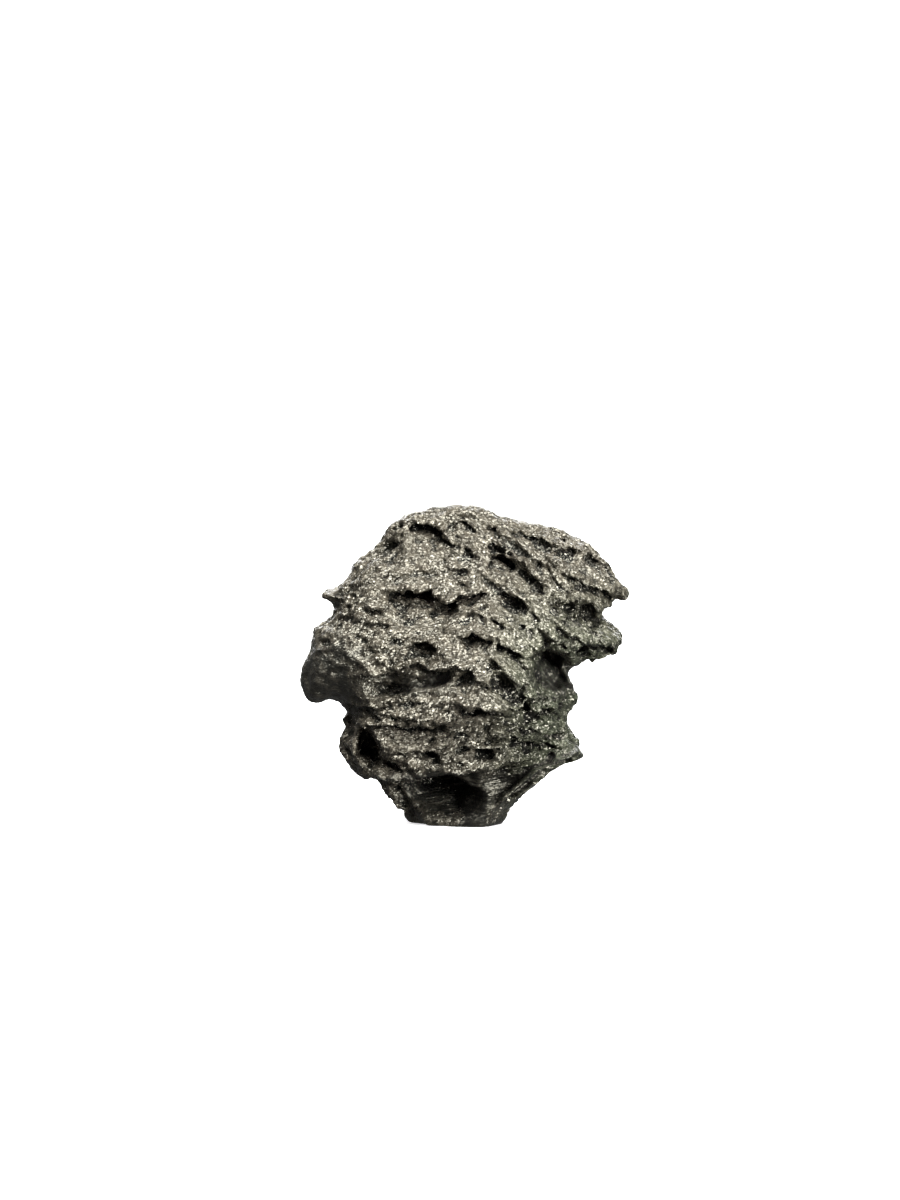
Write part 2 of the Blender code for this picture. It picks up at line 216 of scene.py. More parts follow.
@dataclass
class Surface:
    """The stone's mesh as arrays, in millimetres, while it is being worked.

    Attributes:
        obj: The mesh object.
        points: Its vertices.
        normals: Its vertex normals.
        uneven: Each vertex's x and z, shifted here and there so that relief comes out ragged.
    """

    obj: bpy.types.Object
    points: Array = field(init=False)
    normals: Array = field(init=False)
    uneven: Array = field(init=False)
    ragged: float = 0.34
    ragged_length: float = 1.3

    def __post_init__(self) -> None:
        """Reads the mesh."""
        self.read()

    def read(self) -> None:
        """Reads the vertices and normals from the mesh."""
        mesh = self.obj.data
        count = len(mesh.vertices) * 3
        places, normals = np.empty(count), np.empty(count)
        mesh.vertices.foreach_get("co", places)
        mesh.vertices.foreach_get("normal", normals)
        self.points = places.reshape(-1, 3) / MM
        self.normals = normals.reshape(-1, 3)

    def write(self) -> None:
        """Writes the vertices back to the mesh."""
        self.obj.data.vertices.foreach_set("co", (self.points * MM).ravel())
        self.obj.data.update()

    def roughen_lookup(self) -> None:
        """Works out the ragged x and z that the front's relief is laid out on."""
        shift_x = self.ragged * wavy(self.points, self.ragged_length, 31.0)
        shift_z = self.ragged * wavy(self.points, self.ragged_length, 57.0)
        self.uneven = np.column_stack([self.points[:, 0] + shift_x, self.points[:, 2] + shift_z])

    def facing_front(self) -> Array:
        """Gives 1 where the surface looks to the front, falling to 0 round the flanks."""
        return ramp(-self.normals[:, 1], -0.15, 0.25) * ramp(-self.points[:, 1], -3.0, -0.5)

    def near(self, line: Line, margin: float) -> Array:
        """Finds the front vertices round a line.

        Args:
            line: Corners as (x, z).
            margin: How far outside the line's own box to look.

        Returns:
            The vertices' indices.
        """
        low, high = np.min(line, axis=0) - margin, np.max(line, axis=0) + margin
        inside = np.all((self.uneven > low) & (self.uneven < high), axis=1)
        return np.flatnonzero(inside & (self.points[:, 1] < 2.0))

    def push(self, chosen: Array, inward: Array, upward: Array) -> None:
        """Moves vertices.

        Args:
            chosen: Their indices.
            inward: How far each goes in, along +Y.
            upward: How far each goes up, along +Z.
        """
        self.points[chosen, 1] += inward
        self.points[chosen, 2] += upward


@dataclass(frozen=True)
class Ledge:
    """An overhanging step: proud above its line, cut back below it.

    Attributes:
        line: Its lip, from left to right, as (x, z).
        depth: How far it is cut back.
        fall: How far below the lip the cut runs out.
        lip: How far the lip hangs over.
    """

    line: Line
    depth: float
    fall: float = 0.8
    lip: float = 0.3

    def work(self, surface: Surface) -> None:
        """Cuts the step into the surface."""
        chosen = surface.near(self.line, 3.2 * self.fall + 1.0)
        u, v = surface.uneven[chosen].T
        distance, side, along = line_distance(u, v, self.line)
        strength = surface.facing_front()[chosen]
        strength = strength * ramp(along, 0.0, LEDGE_TAPER) * ramp(1 - along, 0.0, LEDGE_TAPER)
        below = side > 0
        bite = 1.0 - np.exp(-distance / LEDGE_BITE)
        cut = np.where(below, bite * np.exp(-((distance / (LEDGE_REACH * self.fall)) ** 2)), 0.0)
        proud = np.where(below, 0.0, np.exp(-distance / LIP_REACH))
        inward = strength * (LEDGE_GAIN * self.depth * cut - LIP_GAIN * self.lip * proud)
        hang = np.where(below, LEDGE_HANG * self.depth * cut, -self.lip * proud)
        surface.push(chosen, inward, strength * hang)


@dataclass(frozen=True)
class Pit:
    """A hollow bored in and a little upwards, so that its top edge overhangs its floor.

    Attributes:
        x: Its middle, to the right.
        z: Its middle, upwards.
        half_x: Half its width.
        half_z: Half its height.
        depth: How deep it is.
        turn: How far it is turned, in degrees.
        lift: How far it climbs for each unit of depth.
        rim: How far its edge stands proud.
    """

    x: float
    z: float
    half_x: float
    half_z: float
    depth: float
    turn: float = 0.0
    lift: float = 0.5
    rim: float = 0.08

    def work(self, surface: Surface) -> None:
        """Presses the hollow into the surface."""
        middle = [(self.x, self.z)]
        chosen = surface.near(middle, 2.0 * max(self.half_x, self.half_z))
        u, v = (surface.uneven[chosen] - middle[0]).T
        angle = math.radians(self.turn)
        across = (u * math.cos(angle) + v * math.sin(angle)) / (PIT_SPREAD * self.half_x)
        up = (v * math.cos(angle) - u * math.sin(angle)) / (PIT_SPREAD * self.half_z)
        radius = np.hypot(across, up)
        strength = surface.facing_front()[chosen]
        bowl = PIT_GAIN * self.depth * np.clip(1.0 - radius**PIT_POWER, 0.0, 1.0)
        edge = self.rim * np.exp(-(((radius - RIM_RADIUS) / RIM_WIDTH) ** 2))
        surface.push(chosen, strength * (bowl - edge), strength * self.lift * bowl)


@dataclass(frozen=True)
class Crest:
    """A thin ridge along a line, or with a negative height a groove.

    Attributes:
        line: Its path, as (x, z).
        height: How far it stands out.
        width: Its half width.
    """

    line: Line
    height: float
    width: float = 0.22

    def work(self, surface: Surface) -> None:
        """Raises the ridge on the surface."""
        chosen = surface.near(self.line, 3.0 * self.width)
        u, v = surface.uneven[chosen].T
        distance, _, along = line_distance(u, v, self.line)
        taper = ramp(along, 0.0, CREST_TAPER) * ramp(1 - along, 0.0, CREST_TAPER)
        strength = surface.facing_front()[chosen] * taper
        raised = CREST_GAIN * self.height * np.exp(-((distance / self.width) ** 2))
        surface.push(chosen, -strength * raised, np.zeros(len(chosen)))


@dataclass(frozen=True)
class Horn:
    """A point of the outline, drawn out.

    Attributes:
        x: The middle of what is drawn, to the right.
        z: Its height.
        reach: How far round it the stone follows.
        out_x: How far it goes to the right.
        out_z: How far it goes up.
    """

    x: float
    z: float
    reach: float
    out_x: float
    out_z: float

    def work(self, surface: Surface) -> None:
        """Draws the point out."""
        gap = np.hypot(surface.points[:, 0] - self.x, surface.points[:, 2] - self.z)
        pull = np.exp(-((gap / self.reach) ** 2))
        surface.points[:, 0] += self.out_x * pull
        surface.points[:, 2] += self.out_z * pull


@dataclass(frozen=True)
class Scoops:
    """Small scooped hollows scattered all over, laid along the way the melt flowed.

    Attributes:
        count: How many are tried.
        width: Least and greatest half width along the flow, in millimetres.
        squat: Half height as a share of half width, least and greatest.
        depth: Depth as a share of the half height.
        lift: How far each climbs under its own upper rim, as a share of its depth.
        rim: How far that rim stands proud, as a share of its depth.
        seed: Starts the scatter.
    """

    count: int
    width: tuple[float, float]
    squat: tuple[float, float] = (0.4, 0.75)
    depth: float = 0.62
    lift: float = 0.55
    rim: float = 0.22
    seed: int = 5

    def work(self, surface: Surface, flow: Callable[[Array], Array], share: Array) -> None:
        """Scoops the hollows out of the surface.

        Args:
            surface: What is worked.
            flow: Gives the flow's angle above +X at each point, in radians.
            share: How likely a hollow is at each vertex, from 0 to 1.
        """
        chance = np.random.default_rng(self.seed)
        middles = chance.integers(0, len(surface.points), self.count)
        kept = middles[chance.random(self.count) < share[middles]]
        centres, outs = surface.points[kept].copy(), surface.normals[kept]
        angles = flow(centres) + chance.normal(0.0, 0.22, len(kept))
        halves = self.width[0] + (self.width[1] - self.width[0]) * chance.random(len(kept)) ** 2
        squats = chance.uniform(*self.squat, len(kept))
        for centre, out, angle, half, squat in zip(centres, outs, angles, halves, squats):
            self.scoop(surface, centre, out, angle, half, squat)

    def scoop(
        self, surface: Surface, centre: Array, out: Array, angle: float, half: float, squat: float
    ) -> None:
        """Scoops one hollow.

        Args:
            surface: What is worked.
            centre: Its middle.
            out: The surface's normal there.
            angle: The flow's angle there.
            half: Its half width.
            squat: Its half height as a share of that.
        """
        gap = surface.points - centre
        near = np.flatnonzero(np.einsum("ij,ij->i", gap, gap) < (1.6 * half) ** 2)
        near = near[surface.normals[near] @ out > 0.1]
        along = np.array([math.cos(angle), 0.0, math.sin(angle)])
        along = along - out * (along @ out)
        along = along / max(np.linalg.norm(along), 0.05)
        up = np.cross(out, along)
        up = up if up[2] >= 0 else -up
        tall = half * squat
        u, v = gap[near] @ along / half, gap[near] @ up / tall
        radius = np.hypot(u, v)
        deep = self.depth * tall
        bowl = deep * np.clip(1.0 - radius**2, 0.0, 1.0)
        brow = self.rim * deep * np.exp(-(((radius - BROW_RADIUS) / BROW_WIDTH) ** 2)) * ramp(v, -0.3, 0.7)
        surface.points[near] += np.outer(brow - bowl, out) + np.outer(self.lift * bowl, up)


@dataclass(frozen=True)
class Terraces:
    """Lips that run with the flow: the stone leans out to each, then drops back under it.

    Attributes:
        turn: Which way they run, in degrees above +X.
        spacing: From one lip to the next, in millimetres.
        depth: How far each stands out.
        place: Takes the pattern from another part of the noise.
        drop: Share of the spacing over which the stone drops back.
        bend: How far the lips wander, as a share of the spacing.
    """

    turn: float
    spacing: float
    depth: float
    place: float
    drop: float = 0.16
    bend: float = 1.0

    def height(self, points: Array) -> Array:
        """Gives how far each point stands out.

        Args:
            points: Places in millimetres.

        Returns:
            The height, 0 in the grooves.
        """
        angle = math.radians(self.turn)
        x, y, z = points.T
        along = x * math.cos(angle) + z * math.sin(angle)
        across = z * math.cos(angle) - x * math.sin(angle)
        laid = np.column_stack([along / 2.2, y, across])
        wander = wavy(laid, 3.2, self.place) + 0.45 * wavy(laid, 1.1, self.place + 7.0)
        phase = (across / self.spacing + self.bend * wander) % 1.0
        leaning = (1.0 - phase) / (1.0 - self.drop)
        tooth = np.where(phase > self.drop, leaning, phase / self.drop)
        patchy = ramp(wavy(laid, 2.6, self.place + 19.0), -0.45, 0.35)
        return self.depth * tooth * patchy


@dataclass(frozen=True)
class Scallops:
    """Hollows side by side with sharp crests between them, drawn out along the flow.

    Attributes:
        turn: Which way they are drawn out, in degrees above +X.
        long: How far apart they lie that way, in millimetres.
        short: How far apart they lie across it.
        depth: How deep they are.
        place: Takes the pattern from another part of the noise.
        bend: How far the pattern is bent, as a share of its spacing.
    """

    turn: float
    long: float
    short: float
    depth: float
    place: float
    bend: float = 0.45

    def hollow(self, points: Array) -> Array:
        """Gives how deep each point lies.

        Args:
            points: Places in millimetres.

        Returns:
            The depth, 0 on the crests.
        """
        angle = math.radians(self.turn)
        x, y, z = points.T
        along = (x * math.cos(angle) + z * math.sin(angle)) / self.long
        across = (z * math.cos(angle) - x * math.sin(angle)) / self.short
        laid = np.column_stack([along, y / self.long, across]) + self.place
        bent = laid + self.bend * np.array([noise.noise_vector(Vector(p) * 1.3) for p in laid])
        gaps = np.array([noise.voronoi(Vector(p))[0][0] for p in bent])
        return self.depth * np.clip(1.0 - (gaps / 0.62) ** 2, 0.0, 1.0)


# ---------------------------------------------------------------- the stone


@dataclass
class MeteoriteStone:
    """The stone, one natural piece.

    Attributes:
        node: The CAD node it replaces.
        slot: The record's slot for the stone's finish; not used.
        cell: Side of the fine faces, in millimetres.
        triangles: The most faces the finished mesh may have.
    """

    node: str = "meteorite_stone"
    slot: str = "black_stone"
    cell: float = 0.15
    triangles: int = 192_000
    horns: Sequence[Horn] = (
        Horn(-13.4, 22.9, 0.7, -0.7, 0.0),
        Horn(11.4, 8.3, 0.5, 0.25, 0.35),
        Horn(11.8, 6.9, 0.5, 0.3, -0.15),
        Horn(12.0, 7.6, 0.30, -0.4, 0.0),
    )
    ledges: Sequence[Ledge] = tuple(Ledge(*row) for row in (
        (MAIN_LIP[:11], 1.4, 0.75, 0.3),
        (MAIN_LIP[8:], 0.6, 0.4, 0.3),
        (((-3.4, 23.5), (-2.4, 23.0), (-1.3, 22.3), (-0.3, 21.5)), 1.8, 0.6, 0.25),
        (((-5.4, 23.0), (-4.6, 23.7), (-3.8, 23.9), (-2.9, 23.5), (-2.0, 22.7),
         (-0.1, 21.1)), 1.9, 1.05, 0.3),
        (((-3.9, 20.8), (-2.9, 21.3), (-2.2, 21.5), (-0.9, 21.0)), 0.8, 0.45, 0.2),
        (((-5.8, 29.3), (-4.9, 30.0), (-3.6, 30.2), (-2.6, 29.7), (-1.6, 29.0)), 1.0, 0.8, 0.3),
        (((-3.6, 28.6), (-2.2, 28.5), (-0.6, 28.1), (0.9, 27.3)), 0.8, 0.45, 0.25),
        (((-1.6, 30.1), (-0.4, 30.2), (0.8, 29.8), (1.5, 29.0)), 0.8, 0.7, 0.25),
        (((1.2, 27.4), (2.2, 27.9), (3.4, 27.9), (4.2, 27.5)), 0.7, 0.5, 0.3),
        (((1.9, 25.2), (2.2, 26.1), (2.9, 26.7), (3.9, 26.7), (4.8, 26.1), (5.2, 25.0)), 0.9, 0.38, 0.25),
        (((2.5, 29.9), (3.0, 29.5), (3.6, 28.5)), 0.6, 0.4, 0.2),
        (((4.4, 29.4), (5.3, 29.4), (6.0, 28.8), (7.4, 28.7), (9.0, 27.6)), 0.8, 0.7, 0.3),
        (((9.6, 28.7), (10.4, 28.2), (11.0, 27.4), (12.5, 26.9), (13.5, 26.4),
         (14.5, 25.4)), 0.8, 0.7, 0.3),
        (((7.0, 26.6), (8.4, 26.2), (9.6, 25.2), (11.4, 24.6)), 0.6, 0.6, 0.25),
        (((9.4, 24.1), (11.0, 24.0), (12.5, 23.7), (14.0, 23.3), (15.2, 23.2)), 0.5, 0.5, 0.3),
        (((-0.7, 18.5), (0.8, 19.2), (2.0, 19.0), (3.0, 18.4)), 1.1, 0.8, 0.3),
        (((3.0, 18.3), (4.0, 18.0), (5.0, 17.7), (6.4, 16.7)), 0.9, 0.55, 0.25),
        (((2.7, 20.9), (3.3, 20.4), (3.9, 19.5)), 0.5, 0.4, 0.15),
        (((5.4, 20.2), (6.2, 20.0), (7.1, 19.3)), 0.5, 0.45, 0.2),
        (((7.6, 18.9), (9.0, 18.3), (10.4, 17.6)), 0.6, 0.5, 0.2),
        (((10.6, 17.5), (12.0, 18.2), (13.5, 17.9), (15.2, 17.9)), 0.9, 1.0, 0.2),
        (((-9.6, 21.3), (-8.6, 21.5), (-7.4, 21.0)), 0.55, 0.4, 0.2),
        (((-9.2, 14.8), (-6.8, 15.8), (-5.0, 16.2), (-3.2, 15.7), (-0.9, 16.0)), 0.6, 1.3, 0.35),
        (((-8.9, 14.0), (-7.0, 14.3), (-4.2, 15.0)), 0.25, 0.4, 0.15),
        (((-11.4, 12.3), (-9.5, 12.0), (-7.4, 12.1)), 0.6, 0.5, 0.2),
        (((-10.9, 11.0), (-8.8, 11.3), (-6.4, 11.0)), 0.35, 0.35, 0.12),
        (((-11.2, 10.1), (-8.0, 10.3), (-5.0, 10.2), (-1.6, 10.4)), 0.6, 0.55, 0.25),
        (((-0.6, 12.3), (0.6, 12.2), (1.7, 12.0), (4.0, 11.8), (5.0, 12.2), (6.4, 12.9)), 1.1, 0.9, 0.6),
        (((6.2, 13.0), (7.8, 13.4), (9.8, 13.5)), 1.2, 0.5, 0.6),
        (((6.0, 11.3), (7.4, 11.8), (9.6, 11.4)), 0.6, 0.5, 0.2),
        (((1.8, 9.2), (3.4, 9.3), (5.2, 9.1)), 0.7, 0.5, 0.25),
        (((3.6, 10.0), (5.4, 9.9), (8.0, 9.5), (10.2, 9.2)), 0.8, 0.45, 0.3),
        (((4.8, 8.8), (7.4, 8.4), (9.4, 8.0)), 0.6, 0.4, 0.3),
        (((4.2, 8.5), (5.4, 8.5), (6.6, 8.1)), 0.5, 0.4, 0.15),
        (((-7.4, 5.9), (-6.6, 6.0), (-5.8, 5.8)), 0.8, 0.3, 0.15),
        (((-10.2, 5.0), (-7.5, 4.9), (-5.0, 5.3), (-3.0, 5.5), (0.0, 5.7), (1.6, 5.7)), 0.8, 1.2, 0.3),
        (((-7.4, 3.8), (-5.0, 4.2), (-3.0, 4.9), (-1.5, 5.0), (0.0, 4.5), (1.4, 3.4)), 1.6, 2.2, 0.3),
    ))  # fmt: skip
    pits: Sequence[Pit] = tuple(Pit(*row) for row in (
        (-7.2, 27.0, 1.1, 1.3, 0.5, 0.0, 0.1, 0.12),
        (-6.5, 22.3, 0.95, 0.7, 1.8, 0.0, 0.6),
        (-4.2, 22.9, 1.5, 0.6, 2.4, -6.0, 0.6),
        (-1.6, 22.1, 1.2, 0.35, 1.8, -38.0, 0.6),
        (0.6, 22.6, 1.5, 0.4, 1.2, 8.0, 0.6),
        (-2.3, 20.9, 1.0, 0.42, 0.7, -5.0),
        (-13.9, 18.1, 0.5, 0.45, 0.6),
        (-12.3, 19.7, 0.45, 0.3, 0.4, 20.0),
        (-7.7, 19.5, 0.45, 0.4, 0.5),
        (-1.2, 24.8, 0.75, 0.55, 0.4),
        (-3.2, 25.4, 0.35, 0.3, 0.3),
        (-3.8, 26.5, 0.6, 0.3, 0.3, -20.0),
        (-4.3, 29.5, 0.6, 0.4, 0.7),
        (-4.0, 17.0, 1.35, 1.0, 1.5, 0.0, 0.7, 0.12),
        (3.5, 25.4, 1.25, 1.0, 0.7, -20.0, 0.5, 0.15),
        (5.6, 27.0, 0.9, 0.35, 0.7, -42.0),
        (0.3, 29.5, 0.6, 0.45, 0.6),
        (1.5, 28.7, 0.6, 0.4, 0.5, -20.0),
        (2.9, 29.2, 0.5, 0.7, 0.5, -30.0),
        (10.3, 26.6, 0.8, 0.6, 0.9, -25.0),
        (7.0, 25.6, 0.65, 0.6, 0.8),
        (8.3, 25.2, 0.9, 0.35, 0.6, -15.0),
        (7.2, 23.2, 0.6, 0.5, 0.7, -20.0),
        (4.8, 24.3, 0.5, 0.3, 0.3, -30.0),
        (11.8, 22.0, 3.0, 1.3, -1.7, -12.0, -0.1, 0.0),
        (10.2, 21.4, 0.8, 0.55, 1.0, -20.0),
        (11.5, 20.4, 0.6, 0.4, 0.7, -35.0),
        (12.2, 21.0, 0.8, 0.55, 0.9, -10.0),
        (13.4, 21.9, 0.7, 0.5, 0.7),
        (1.0, 18.4, 0.9, 0.6, 0.8, -10.0),
        (6.2, 16.4, 0.55, 0.5, 1.0),
        (4.6, 16.9, 0.5, 0.3, 0.4, -35.0),
        (8.5, 16.3, 1.25, 0.9, 1.6, -28.0, 0.4, 0.1),
        (9.2, 14.7, 0.9, 1.1, 1.3, 0.0, 0.3, 0.05),
        (-6.4, 13.9, 2.7, 0.8, 0.9, 12.0, -0.3, 0.0),
        (-2.9, 14.6, 1.7, 0.7, 0.8, 18.0, -0.3, 0.0),
        (0.1, 14.2, 1.0, 0.95, 0.7, -30.0, 0.5, 0.1),
        (3.7, 14.1, 1.15, 0.9, 0.35, -25.0, 0.7, 0.12),
        (2.3, 11.2, 0.7, 0.5, 0.6),
        (-0.3, 7.6, 0.55, 0.45, 0.7),
        (1.9, 7.2, 0.95, 0.75, 1.1, 0.0, 0.5, 0.15),
        (-0.5, 6.4, 0.35, 0.3, 0.5),
        (-3.2, 6.9, 1.0, 0.7, 0.8, -30.0),
        (6.3, 10.6, 0.75, 0.6, 0.7, -10.0),
        (6.6, 7.6, 0.8, 0.5, 0.8),
        (8.4, 7.0, 0.7, 0.4, 0.6, -10.0),
        (-9.4, 7.5, 1.1, 1.9, 2.0, 8.0, 0.1, 0.15),
        (-7.9, 6.0, 1.7, 0.55, 1.5, -6.0, 0.3, 0.1),
        (-5.8, 9.4, 0.5, 0.35, 0.4),
        (-7.6, 8.9, 0.6, 0.3, 0.4),
        (-6.6, 18.2, 0.6, 0.4, 0.4, -20.0),
        (-9.0, 17.2, 0.5, 0.35, 0.35),
        (-10.4, 18.6, 0.5, 0.35, 0.35, 15.0),
    ))  # fmt: skip
    scoops: Sequence[Scoops] = (
        Scoops(150, (0.9, 2.1), depth=0.5, seed=5),
        Scoops(420, (0.45, 1.1), seed=6),
        Scoops(900, (0.25, 0.6), seed=7),
    )
    terraces: tuple[Terraces, Terraces] = (
        Terraces(8.0, 2.3, 0.72, 3.0),
        Terraces(-38.0, 2.3, 1.15, 41.0),
    )
    plain_places: Sequence[tuple[float, float, float, float]] = (
        (-4.5, 25.8, 5.5, 2.0),
        (4.8, 21.6, 3.0, 1.7),
        (3.6, 25.4, 2.4, 1.8),
        (-2.6, 23.2, 2.6, 1.4),
    )
    broken_ground: tuple[float, float, float, float] = (6.5, 9.6, 5.0, 3.4)
    shelters: Sequence[tuple[float, float, float, float, float]] = (
        (-5.2, 14.4, 4.4, 1.1, 0.75),
        (-3.2, 4.9, 4.6, 0.8, 0.85),
        (-2.3, 3.2, 4.2, 2.4, 1.0),
        (9.2, 15.0, 1.9, 2.2, 1.0),
    )
    scallops: Sequence[tuple[Scallops, Scallops]] = (
        (Scallops(8.0, 4.6, 1.2, 0.36, 3.0, 0.3), Scallops(-38.0, 5.4, 1.5, 0.62, 13.0, 0.28)),
        (Scallops(6.0, 2.0, 0.55, 0.16, 23.0, 0.35), Scallops(-37.0, 2.0, 0.62, 0.20, 33.0, 0.35)),
    )
    crests: Sequence[Crest] = tuple(Crest(*row) for row in (
        (((-12.6, 23.7), (-11.7, 23.5), (-10.9, 22.9), (-9.9, 22.1)), 0.4, 0.2),
        (((3.4, 28.6), (4.3, 27.5), (5.6, 26.2), (7.2, 24.8), (8.6, 23.7)), 0.6, 0.22),
        (((-5.2, 30.3), (-3.6, 30.5), (-1.8, 30.4)), 0.3, 0.25),
        (((-6.1, 28.4), (-6.3, 27.4), (-6.2, 26.4)), 0.25, 0.16),
        (((-2.7, 22.0), (-1.6, 21.8), (-0.4, 21.1)), 0.35, 0.18),
        (((1.7, 15.2), (3.0, 15.3), (4.2, 15.0), (5.2, 14.2), (5.2, 12.8)), 0.3, 0.2),
        (((-0.7, 12.6), (1.7, 12.2), (4.0, 12.0), (5.2, 12.4)), 0.25, 0.15),
        (((-11.2, 10.4), (-8.0, 10.5), (-5.0, 10.4), (-1.6, 10.6)), 0.25, 0.14),
        (LOWER_LIP, 1.1, 0.6),
        (((12.0, 7.5), (9.3, 6.7), (7.2, 5.7), (5.4, 4.3), (3.9, 3.0), (2.6, 1.7)), 1.4, 0.2),
        (((12.0, 6.7), (9.6, 5.9), (7.6, 4.8), (6.0, 3.4), (4.6, 2.1)), 1.3, 0.2),
        (((11.8, 7.0), (9.5, 6.3), (7.4, 5.3), (5.7, 3.9), (4.2, 2.6), (3.0, 1.4)), -1.3, 0.18),
        (((-11.3, 8.7), (-10.6, 7.8), (-10.7, 6.6), (-9.8, 5.5)), 0.3, 0.3),
        (((-8.8, 7.8), (-8.1, 7.5), (-7.4, 7.7)), 0.5, 0.45),
        (((2.4, 10.4), (3.3, 10.0), (4.2, 9.9)), 0.7, 0.6),
        (((4.4, 9.2), (6.4, 9.0), (8.4, 8.6), (10.6, 8.0)), 0.5, 0.2),
        (((7.4, 17.0), (8.4, 15.6), (9.0, 14.0)), 0.4, 0.25),
        (((-0.6, 1.9), (1.2, 2.3), (3.2, 2.0)), 0.5, 0.6),
        (((-11.9, 17.4), (-10.2, 16.3), (-8.6, 15.0)), 0.3, 0.4),
    ))  # fmt: skip

    def build(self) -> bpy.types.Object:
        """Makes the fine stone from a copy of the CAD node.

        Returns:
            The finished mesh object.
        """
        stone = self.copy_node()
        self.even_faces(stone, self.cell, 7)
        self.work_front(stone)
        self.even_faces(stone, self.cell, 1)
        self.work_texture(stone)
        self.thin_out(stone)
        self.drop_crumbs(stone)
        self.mark_regions(stone)
        activate(stone)
        bpy.ops.object.shade_smooth()
        return stone

    def copy_node(self) -> bpy.types.Object:
        """Copies the CAD node's mesh and merges its loose triangles."""
        source = frame["nodes"][self.node]
        stone = bpy.data.objects.new("stone_surface", source.data.copy())
        bpy.context.scene.collection.objects.link(stone)
        activate(stone)
        bpy.ops.object.mode_set(mode="EDIT")
        bpy.ops.mesh.select_all(action="SELECT")
        bpy.ops.mesh.remove_doubles(threshold=0.000001)
        bpy.ops.object.mode_set(mode="OBJECT")
        stone.data.materials.clear()
        return stone

    def even_faces(self, stone: bpy.types.Object, cell: float, smoothing: int) -> None:
        """Covers the stone with even faces.

        Args:
            stone: The mesh object.
            cell: Side of a face, in millimetres.
            smoothing: How many times the result is smoothed.
        """
        even = stone.modifiers.new("even_faces", "REMESH")
        even.mode = "VOXEL"
        even.voxel_size = cell * MM
        even.adaptivity = 0.0
        soft = stone.modifiers.new("soften", "SMOOTH")
        soft.factor = 0.5
        soft.iterations = smoothing
        activate(stone)
        for name in ("even_faces", "soften"):
            bpy.ops.object.modifier_apply(modifier=name)

    def work_front(self, stone: bpy.types.Object) -> None:
        """Works the named ledges, pits, crests and horns into the front."""
        surface = Surface(stone)
        share = 1.0 - np.maximum(0.85 * self.lobe(surface.points), self.striated(surface.points))
        share = share * ramp(surface.points[:, 2], 0.3, 1.5)
        plain = (0.7, 0.3, 0.0)
        for scatter, spared in zip(self.scoops, plain):
            scatter.work(surface, self.flow_angle, share * (1.0 - spared * surface.facing_front()))
        self.step(surface)
        surface.roughen_lookup()
        for tool in (*self.ledges, *self.pits, *self.crests):
            tool.work(surface)
        for horn in self.horns:
            horn.work(surface)
        surface.write()

    def step(self, surface: Surface) -> None:
        """Works the terraces in, faint where the stone is smooth or sheltered."""
        points, normals = surface.points, surface.normals
        x, _, z = points.T
        turned = self.turned(points)
        left, right = self.terraces
        height = (1.0 - turned) * left.height(points) + turned * right.height(points)
        quiet = np.maximum.reduce(
            [
                0.85 * self.lobe(points),
                self.striated(points),
                self.drawn_lip(points),
                0.7 * self.sheltered(points),
            ]
        )
        for middle_x, middle_z, half_x, half_z in self.plain_places:
            radius = np.hypot((x - middle_x) / half_x, (z - middle_z) / half_z)
            quiet = np.maximum(quiet, 0.8 * ramp(-radius, -1.2, -0.6))
        amount = (1.0 - quiet) * ramp(z, 0.3, 1.5) * (0.25 + 0.75 * ramp(np.abs(normals[:, 1]), 0.3, 0.75))
        height *= amount
        mean = TERRACE_MEAN * (left.depth + turned * (right.depth - left.depth)) * amount
        surface.points += normals * (height - mean)[:, None]
        surface.points[:, 2] -= 0.5 * height * ramp(np.abs(normals[:, 1]), 0.4, 0.8)

    def flow_angle(self, points: Array) -> Array:
        """Gives which way the melt flowed at each point, in radians above +X."""
        _, y, _ = points.T
        front = np.radians(9.0 - 45.0 * self.turned(points))
        return np.where(y < 1.0, front, np.radians(24.0))

    def flow(self, surface: Surface, turn: float, long: float, short: float, offset: float) -> Array:
        """Gives wrinkles drawn out in one direction of the front's plane.

        Args:
            surface: What is worked.
            turn: The direction, in degrees above +X.
            long: The wrinkles' length, in millimetres.
            short: Their spacing.
            offset: Moves to another part of the noise.

        Returns:
            The wrinkles' height, with sharp crests at 1 and troughs near 0.
        """
        angle = math.radians(turn)
        x, y, z = surface.points.T
        along = (x * math.cos(angle) + z * math.sin(angle)) / long
        across = (z * math.cos(angle) - x * math.sin(angle)) / short
        placed = np.column_stack([along, y / (1.6 * short), across])
        return 1.0 - np.abs(wavy(placed, 1.0, offset)) * 2.2

